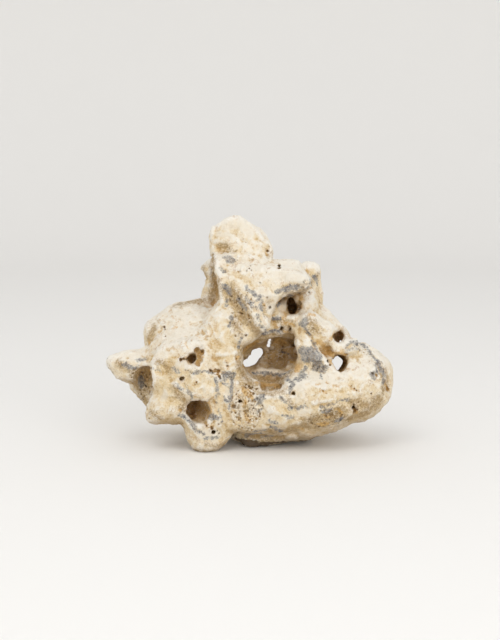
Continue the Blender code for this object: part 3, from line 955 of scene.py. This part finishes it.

# %% [markdown]
# Old dirt lies wherever a brush wouldn't reach, and the same strokes paint the shade of those places: in
# the flute, in the groove, under the brow, low on the lobe and along the bottom edge.

# %% Dirt and painted shade
# Each stroke is both dirt and painted shade; the low strokes along the bottom edge are painted shade.
DIRT_AND_SHADE = {
    "tower": "2 219,246 229,247; 1.2 225,252 236,251; 1.2 267,247 267,257",
    "flute": "3.2 213,258 213,272 213,286 211,299; 1.6 218,281 219,298 215,306; 2.4 203,268 206,276",
    "groove": "7 229,290 238,302 246,317; 3.6 250,322 256,330; 3 232,322 240,334",
    "brow": """3 284,290 294,289 301,289; 1.4 309,289 297,295 285,298; 2.2 262,304 264,314;
        3 270,303 274,312""",
    "knob": "2.6 312,282 318,276",
    "lip": "1.6 258,336 268,335 280,334; 2 281,327 290,328",
    "shoulder": "4 154,328 149,340; 3 176,305 190,302 202,300",
    "horn": "3 118,364 128,368 136,372; 4 141,378 145,390",
    "flank": "3 160,362 170,369; 3 174,388 182,398 184,408; 2.4 150,412 160,418",
    "foot": "1.6 206,445 218,446 230,441; 2 176,421 184,428",
    "bed": "3 243,400 246,412; 2 243,386 256,390",
    "cave_rim": """4 241,352 239,362 243,374 252,384; 3 246,346 258,340 270,338;
        4 256,377 270,380 284,378 292,370; 2.4 262,392 272,394 282,391""",
    "bore_rim": "2.4 276,320 284,322 292,323; 2.2 300,300 303,308 300,314",
    "left_cave": "4 134,372 137,384 142,395 147,402",
    "cave": "3 258,384 272,388 282,384; 3 247,352 243,364",
    "lobe": """7 308,424 324,420 340,412; 4 270,432 286,430 300,428; 4 352,402 366,406 378,398;
        4 380,366 386,378 384,390; 5 350,418 366,412 380,402; 3 309,320 316,330; 4 302,350 320,368""",
    "low": "4 250,436 264,438 280,437; 2.4 290,402 296,408",
}
stain("dirt_and_shade", DIRT_AND_SHADE)

# %% [markdown]
# The edge under the belly lies in the stone's darkest shade, so that shade is painted as a stain to itself.

# %% Painted shade under the belly
# Painted shade: these strokes darken the edge under the belly, where the stone nearly meets the floor.
BELLY_EDGE_SHADE = {
    "belly": """2.8 237,442 248,445 262,446 280,445 292,443 304,441;
        2.2 236,439 246,442 258,443 272,443 284,442""",
}
stain("belly_edge_shade", BELLY_EDGE_SHADE)

# %% [markdown]
# Nobody knows where the stains lie at the back, so there they come from noise. Each point keeps whether
# the camera misses it, softened over its neighbours, and the noise only counts where that is so.

# %% What the camera doesn't see
HIDDEN_SAMPLES = 12000
HIDDEN_NEIGHBOURS = 12

hidden = spread(lambda index: 0.0 if seen(Vector(points[index])) else 1.0,
                points, HIDDEN_SAMPLES, HIDDEN_NEIGHBOURS)
store("hidden", hidden)
print("hidden share:", round(float(np.mean(hidden)), 2))

# %% [markdown]
# The material is worked out as one would mix paint: a cream body, then layers over it, each with a mask.
# The masks are sums and thresholds of numbers, so a small class wraps a socket and lets them be written
# as arithmetic. Everything else is a node made by one method. All patterns use the stone's own
# coordinates.

# %% Arithmetic on sockets
class Field:
    """A number or colour that varies over the stone: one output socket of the material's nodes."""

    tree = None

    def __init__(self, socket):
        self.socket = socket

    @classmethod
    def node(cls, kind, settings=None, sockets=None, output=0):
        """A new node of this type: settings first, then its sockets get their values or links."""
        made = cls.tree.nodes.new(kind)
        for name, value in (settings or {}).items():
            setattr(made, name, value)
        for key, value in (sockets or {}).items():
            if isinstance(value, Field):
                cls.tree.links.new(value.socket, made.inputs[key])
            else:
                made.inputs[key].default_value = value
        return cls(made.outputs[output]) if made.outputs else None

    @classmethod
    def maths(cls, operation, *values):
        """A Math node on numbers or fields."""
        return cls.node("ShaderNodeMath", {"operation": operation}, dict(enumerate(values)))

    def __add__(self, other):
        return self.maths("ADD", self, other)

    def __sub__(self, other):
        return self.maths("SUBTRACT", self, other)

    def __rsub__(self, other):
        return self.maths("SUBTRACT", other, self)

    def __mul__(self, other):
        return self.maths("MULTIPLY", self, other)

    __radd__ = __add__
    __rmul__ = __mul__


material = bpy.data.materials.new("weathered_limestone")
material.use_nodes = True
Field.tree = material.node_tree
for leftover in list(Field.tree.nodes):
    Field.tree.nodes.remove(leftover)
place_on_stone = Field.node("ShaderNodeTexCoord", output="Object")
print("an empty material:", material.name)

# %% [markdown]
# Every mask is one of a few kinds. A threshold rises or falls softly, because weather has no hard edges.
# Patches are soft noise, a winding line is where such noise passes its middle, and an attribute is what
# was measured on the skin. A layer is then a mask, its strength and a colour.

# %% Thresholds, patterns and layers
def between(value, low, high):
    """Rises smoothly from 0 to 1 as the value goes from low to high."""
    return Field.node("ShaderNodeMapRange", {"interpolation_type": "SMOOTHSTEP"},
                      {"Value": value, "From Min": low, "From Max": high})


def falling(value, low, high):
    """Falls smoothly from 1 to 0 as the value goes from low to high."""
    return 1 - between(value, low, high)


def patches(size, detail=3.0, roughness=0.55, shift=0.0):
    """Soft noise with lumps of this size in millimetres, from 0 to 1."""
    moved = Field.node("ShaderNodeVectorMath", {"operation": "ADD"},
                       {0: place_on_stone, 1: (shift, shift, shift)})
    return Field.node("ShaderNodeTexNoise", {}, {"Vector": moved, "Scale": 1 / (size * MM), "Detail": detail,
                                                 "Roughness": roughness})


def winding(pattern, thin, wide):
    """Thin winding lines, where a soft noise passes its middle."""
    return falling(Field.maths("ABSOLUTE", pattern - 0.5), thin, wide)


def read(name):
    """An attribute of the stone's points."""
    return Field.node("ShaderNodeAttribute", {"attribute_name": name}, output="Fac")


def colour(hex_code):
    """A colour as it is picked on a screen, turned into light."""
    shares = [int(hex_code[start:start + 2], 16) / 255 for start in (0, 2, 4)]
    light = [share / 12.92 if share <= 0.04045 else ((share + 0.055) / 1.055) ** 2.4 for share in shares]
    return light + [1]


def over(base, mask, layer):
    """One layer of colour over another, where the mask is 1."""
    return Field.node("ShaderNodeMix", {"data_type": "RGBA", "blend_type": "MIX", "clamp_factor": True},
                      {0: mask, 6: base, 7: layer}, output=2)


def layered(base, *layers):
    """Several layers in turn: each is a mask, its strength and a colour."""
    for mask, strength, layer in layers:
        base = over(base, mask * strength, layer)
    return base


print("white as light:", colour("FFFFFF"))

# %% [markdown]
# Under the weather lies the stone's own colour: butter and cream in patches as wide as a thumb, tan and
# umber in small ones, and winding trails that worms leave. Five sizes of noise are made once and shared
# by most of the masks, because each further noise makes a render slower.

# %% The body colour
BUTTER = colour("E7D1A8")
CREAM = colour("F2E4CA")
TAN = colour("CBAE80")
UMBER = colour("A18259")

hollow = read("hollow")
dip = read("dip")
up = read("up")
broad = patches(26, 3, 0.5)
middle = patches(7, 4, 0.6, 3.1)
small = patches(3.2, 4, 0.65, 5.9)
fine = patches(1.3, 3, 0.65, 7.7)
grain = patches(0.55, 2, 0.6, 1.3)

# The dip terms lean pits towards tan and away from cream: a little dust and a little painted shade.
creamy = between(broad * 0.8 + middle * 0.5 + fine * 0.3 - dip * 0.25, 0.68, 1.0)
tanned = between(middle * 0.6 + small * 0.6 + dip * 0.3, 0.62, 0.85)
browned = between(small * 0.8 + fine * 0.6, 0.78, 0.92)
wormed = winding(patches(4.5, 2, 0.5, 12.3), 0.015, 0.06)
wormed = wormed * between(patches(12, 3, 0.6, 15.2) + small * 0.2, 0.62, 0.72)
body = layered(BUTTER, (creamy, 1, CREAM), (tanned, 0.6, TAN), (browned, 0.45, UMBER))
print("body colour:", len(Field.tree.nodes), "nodes so far")

# %% [markdown]
# Rain washes what faces up and what stands proud, so both go chalky, and they are painted lighter still as
# the light from above falls on them: painted light. What the stone shelters keeps its iron and dust and
# turns tan, then brown, and the bottoms of the pits are darkest: stain and dust, with painted shade in
# them. The order counts: a pit at the top of the stone is dark although it faces up, so the pits come
# last.

# %% Bleached and painted light on top, stained and painted shade in the hollows
CHALK_AND_HIGHLIGHT = colour("F7F3EA")
SHADE_AND_DUST_TAN = colour("CDAC76")
BROWN = colour("C99C60")
DEEP = colour("7C5B33")

rough_edge = middle * 0.5 + fine * 0.25
# Painted light on what faces up and stands proud, and painted shade in what is closed in and in the pits.
bleached_and_lit = between(up + rough_edge - dip * 0.3, 0.45, 1.2)
proud_and_lit = between(rough_edge - dip, 0.7, 1.3)
sheltered_stain_and_shade = between(hollow + rough_edge * 0.3, 0.45, 0.85)
inmost_stain_and_shade = between(hollow + rough_edge * 0.2, 0.75, 1.05)
washed_and_lit_crests = between(0 - dip, 0.2, 0.8)
dimple_dust_and_shade = between(dip + fine * 0.4, 0.35, 0.8)
pit_dust_and_shade = between(dip + fine * 0.3, 0.6, 1.3)
pit_bottom_dust_and_shade = between(dip + fine * 0.3, 1.0, 1.9)
body = layered(body, (bleached_and_lit, 0.7, CHALK_AND_HIGHLIGHT), (proud_and_lit, 0.35, CHALK_AND_HIGHLIGHT), (sheltered_stain_and_shade, 0.85, SHADE_AND_DUST_TAN),
               (inmost_stain_and_shade, 0.85, BROWN), (washed_and_lit_crests, 0.35, CHALK_AND_HIGHLIGHT), (dimple_dust_and_shade, 0.55, SHADE_AND_DUST_TAN),
               (pit_dust_and_shade, 0.6, BROWN), (pit_bottom_dust_and_shade, 0.85, DEEP))
print("bleached and browned:", len(Field.tree.nodes), "nodes so far")

# %% [markdown]
# Close up, the skin is peppered with grains a millimetre wide, some darker and some lighter than the
# rest. The dark ones are held back where the top is bleached and painted light. The underside is painted
# duller as a whole, as shade.

# %% Grains, worm trails and painted shade on the underside
WORMED = colour("B98C58")

unwashed_and_unlit = 1 - bleached_and_lit * 0.8
tan_grains = between(fine * 0.7 + grain * 0.6, 0.7, 0.78) * unwashed_and_unlit
chalk_grains = falling(fine + grain * 0.3, 0.48, 0.62)
umber_grains = between(fine * 0.8 + middle * 0.4, 0.74, 0.8) * unwashed_and_unlit
# Painted shade: what faces down is darkened towards umber.
underside_shade = between(0 - up, 0.25, 0.85)
body = layered(body, (wormed, 0.4, WORMED), (tan_grains, 0.55, TAN), (chalk_grains, 0.45, CHALK_AND_HIGHLIGHT),
               (umber_grains, 0.5, UMBER), (underside_shade, 0.5, UMBER))
print("grained:", len(Field.tree.nodes), "nodes so far")

# %% [markdown]
# Dust settles in the grooves, under the lips and along the rims, where it was drawn, and the same layer
# paints the shade that falls there. `fray` is a few millimetres of noise, added to how far inside a stroke
# a point lies, so that no stain has a ruled edge.

# %% Dirt and painted shade in the sheltered places
DIRT_AND_SHADE_TAN = colour("B08F5C")
DIRT_AND_SHADE_GREY = colour("8F8068")

fray = (middle - 0.5) * 4.0 + (small - 0.5) * 4.0 + (fine - 0.5) * 3.0
# Dirt and painted shade: the drawn strokes darken the grooves, the flute, under the brow and the bottom
# edge.
dirt_and_shade = between(read("dirt_and_shade") + fray, -2.5, 3.0)
thick_dirt_and_shade = 0.4 + between(small + fine * 0.5, 0.6, 0.85) * 0.4
grey_dirt_and_shade = dirt_and_shade * between(fine + grain * 0.5, 0.68, 0.9)
body = layered(body, (dirt_and_shade, thick_dirt_and_shade, DIRT_AND_SHADE_TAN), (grey_dirt_and_shade, 0.55, DIRT_AND_SHADE_GREY))
print("dirty:", len(Field.tree.nodes), "nodes so far")

# %% [markdown]
# Iron bleeds out at the pores as ochre, and lime dries on the rims as a pale crust, which also carries a
# little painted light. Both are drawn stains. The ochre is light in some grains and deep in others, so its
# colour is made of two layers too.

# %% Ochre, and pale crusts with a little painted light
OCHRE_LIGHT = colour("D9B06C")
OCHRE_DEEP = colour("B58038")
CRUST_AND_LIGHT = colour("F0E7D6")

ochre = between(read("ochre") + fray, -0.8, 1.2)
ochre_colour = over(OCHRE_LIGHT, between(fine, 0.5, 0.7), OCHRE_DEEP)
# The pale layer is crust, and painted light where a pale stroke lightens a recess the form shades too
# deeply.
pale = between(read("pale") + fray, -0.8, 1.8)
body = layered(body, (ochre, 0.75, ochre_colour), (pale, 0.7, CRUST_AND_LIGHT))
print("stained:", len(Field.tree.nodes), "nodes so far")

# %% [markdown]
# The grey stains run in thin veins. In front they were drawn, and at the back a winding line takes their
# place. Streaks make them fade and return, as a wash of ink does on a rough ground. Last, the edge under
# the belly is painted dark brown, as its shade.

# %% Grey veins, and painted shade under the belly
GREY_LIGHT = colour("A3A09C")
GREY_DEEP = colour("6A6B70")
BELLY_SHADE_BROWN = colour("4E3B26")

back_veins = winding(patches(11, 4, 0.6, 5.5), 0.012, 0.04)
back_veins = back_veins * between(patches(24, 2, 0.5, 9.1), 0.57, 0.66) * read("hidden")
grey = Field.maths("MAXIMUM", between(read("grey") + fray, -0.8, 0.9), back_veins)
streaks = 0.55 + between(patches(1.5, 4, 0.7, 4.4), 0.42, 0.58) * 0.45
grey_colour = over(GREY_LIGHT, between(small, 0.4, 0.65), GREY_DEEP)
# Painted shade: the edge under the belly goes dark brown.
belly_edge_shade = between(read("belly_edge_shade") + fray * 0.4, -0.6, 1.0)
body = layered(body, (grey, streaks, grey_colour), (belly_edge_shade, 0.92, BELLY_SHADE_BROWN))
print("veined:", len(Field.tree.nodes), "nodes so far")

# %% [markdown]
# In the beds, pores too fine to cut show as dark specks, and a few lie everywhere else. Each little cell
# of a Voronoi pattern draws a number by chance, and has a speck in its middle if that number is under the
# share of specks wanted there. A plain noise would give blots instead of dots.

# %% Specks in the beds, and a scatter everywhere
SPECK_SIZE = 1.4
SPECKED_ANYWHERE = 0.012
SPECKED_IN_BED = 0.26
SPECK_DARK = colour("6A5233")


def cells(output):
    """One output of a pattern of little cells."""
    return Field.node("ShaderNodeTexVoronoi", {}, {"Vector": place_on_stone, "Scale": 1 / (SPECK_SIZE * MM)},
                      output=output)


drawn_number = Field.node("ShaderNodeTexWhiteNoise", {}, {"Vector": cells("Position")}, output="Value")
in_bed = between(read("specks") + fray, -1.5, 2.5)
has_speck = between(SPECKED_ANYWHERE + in_bed * SPECKED_IN_BED - drawn_number, 0, 0.02)
speck = falling(cells("Distance") + fine * 0.2, 0.2, 0.36) * has_speck
body = layered(body, (speck, 0.85, SPECK_DARK), (in_bed * between(fine, 0.4, 0.65), 0.25, SHADE_AND_DUST_TAN))
print("specked:", len(Field.tree.nodes), "nodes so far")

# %% [markdown]
# What is left is finer than the mesh: grain like coarse sandpaper, which a Bump node gives for free. The
# stone is matt, a little more so where the grain is high, and it has almost no shine.

# %% The skin's grain, and the finished material
GRAIN_HEIGHT = 0.5
FINE_HEIGHT = 1.0
SMALL_HEIGHT = 0.9
SPECK_DEPTH = 0.5
MATT = 0.86
MATT_GRAIN = 0.12
SHINE = 0.3

height = grain * GRAIN_HEIGHT + fine * FINE_HEIGHT + small * SMALL_HEIGHT - speck * SPECK_DEPTH
bump = Field.node("ShaderNodeBump", {}, {"Height": height, "Distance": MM, "Strength": 1.0})
shader = Field.node("ShaderNodeBsdfPrincipled", {}, {
    "Base Color": body, "Roughness": MATT + grain * MATT_GRAIN, "Normal": bump, "Specular IOR Level": SHINE})
Field.node("ShaderNodeOutputMaterial", {}, {"Surface": shader})
stone.data.materials.clear()
stone.data.materials.append(material)
print("material has", len(Field.tree.nodes), "nodes")

# %% [markdown]
# The stone stands on a pale sweep, as in a studio: a flat round floor that curves up into a low wall on
# all sides, so there is no horizon from any angle. A disc is made, and its rim is drawn out and up along
# a profile.

# %% The sweep
FLOOR_RADIUS = 1.5
CURVE_RADIUS = 0.6
WALL_HEIGHT = 0.8
CURVE_STEPS = 12
ROUND_STEPS = 96
FLOOR_WHITE = "F1F0EE"
FLOOR_MATT = 0.9
FLOOR_SHINE = 0.1

profile = []
for step in range(CURVE_STEPS + 1):
    angle = step / CURVE_STEPS * math.pi / 2
    profile.append((FLOOR_RADIUS + CURVE_RADIUS * math.sin(angle), CURVE_RADIUS * (1 - math.cos(angle))))
profile.append((FLOOR_RADIUS + CURVE_RADIUS, CURVE_RADIUS + WALL_HEIGHT))

bpy.ops.object.select_all(action="DESELECT")
bpy.ops.mesh.primitive_circle_add(vertices=ROUND_STEPS, radius=FLOOR_RADIUS, fill_type="NGON")
floor = bpy.context.object
floor.name = "studio_sweep"
bpy.ops.object.mode_set(mode="EDIT")
bpy.ops.mesh.select_all(action="SELECT")
bpy.ops.mesh.select_mode(type="EDGE")
bpy.ops.mesh.region_to_loop()
for (radius, rise), (wider, higher) in zip(profile, profile[1:]):
    bpy.ops.mesh.extrude_region_move()
    bpy.ops.transform.resize(value=(wider / radius, wider / radius, 1), center_override=(0, 0, 0))
    bpy.ops.transform.translate(value=(0, 0, higher - rise))
bpy.ops.object.mode_set(mode="OBJECT")
floor.data.shade_smooth()

floor_paint = bpy.data.materials.new("pale_floor")
floor_paint.use_nodes = True
principled = floor_paint.node_tree.nodes["Principled BSDF"]
principled.inputs["Base Color"].default_value = colour(FLOOR_WHITE)
principled.inputs["Roughness"].default_value = FLOOR_MATT
principled.inputs["Specular IOR Level"].default_value = FLOOR_SHINE
floor.data.materials.append(floor_paint)
print("sweep:", len(floor.data.polygons), "faces")

# %% [markdown]
# The light is soft: a large lamp above, in front and a little to the left, a wider one low on the right,
# and a pale sky that fills the shadows. A small lamp would draw hard black edges in every bore. The
# camera doesn't see the lamps themselves, and colours are shown as they are.

# %% Soft light
KEY_SIZE = 1.2
KEY_POWER = 7.0
KEY_PLACE = (-0.6, -1.0, 1.5)
KEY_TINT = (1.0, 0.99, 0.97)
FILL_SIZE = 1.6
FILL_POWER = 11.5
FILL_PLACE = (0.9, -1.6, 0.85)
FILL_TINT = (1.0, 1.0, 1.0)
LIT_POINT = Vector((0, 0, 0.08))
SKY_POWER = 0.78
SKY_TINT = (1.0, 0.995, 0.99, 1)


def soft_lamp(name, size, power, place, tint):
    """A round lamp that looks at the stone."""
    lamp = bpy.data.lights.new(name, "AREA")
    lamp.shape = "DISK"
    lamp.size = size
    lamp.energy = power
    lamp.color = tint
    holder = bpy.data.objects.new(name, lamp)
    holder.location = place
    holder.rotation_euler = (Vector(place) - LIT_POINT).to_track_quat("Z", "Y").to_euler()
    holder.visible_camera = False
    bpy.context.scene.collection.objects.link(holder)
    print(name, "lamp:", size, "m wide,", power, "W")


soft_lamp("key", KEY_SIZE, KEY_POWER, KEY_PLACE, KEY_TINT)
soft_lamp("fill", FILL_SIZE, FILL_POWER, FILL_PLACE, FILL_TINT)

world = bpy.data.worlds.new("pale_sky")
bpy.context.scene.world = world
world.use_nodes = True
background = world.node_tree.nodes["Background"]
background.inputs["Color"].default_value = SKY_TINT
background.inputs["Strength"].default_value = SKY_POWER
bpy.context.scene.view_settings.view_transform = "Standard"
bpy.context.scene.view_settings.look = "None"
print("sky:", SKY_POWER)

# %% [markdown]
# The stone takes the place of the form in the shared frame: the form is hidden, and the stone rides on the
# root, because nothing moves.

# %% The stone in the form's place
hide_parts("limestone_rock")
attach(stone, "root")
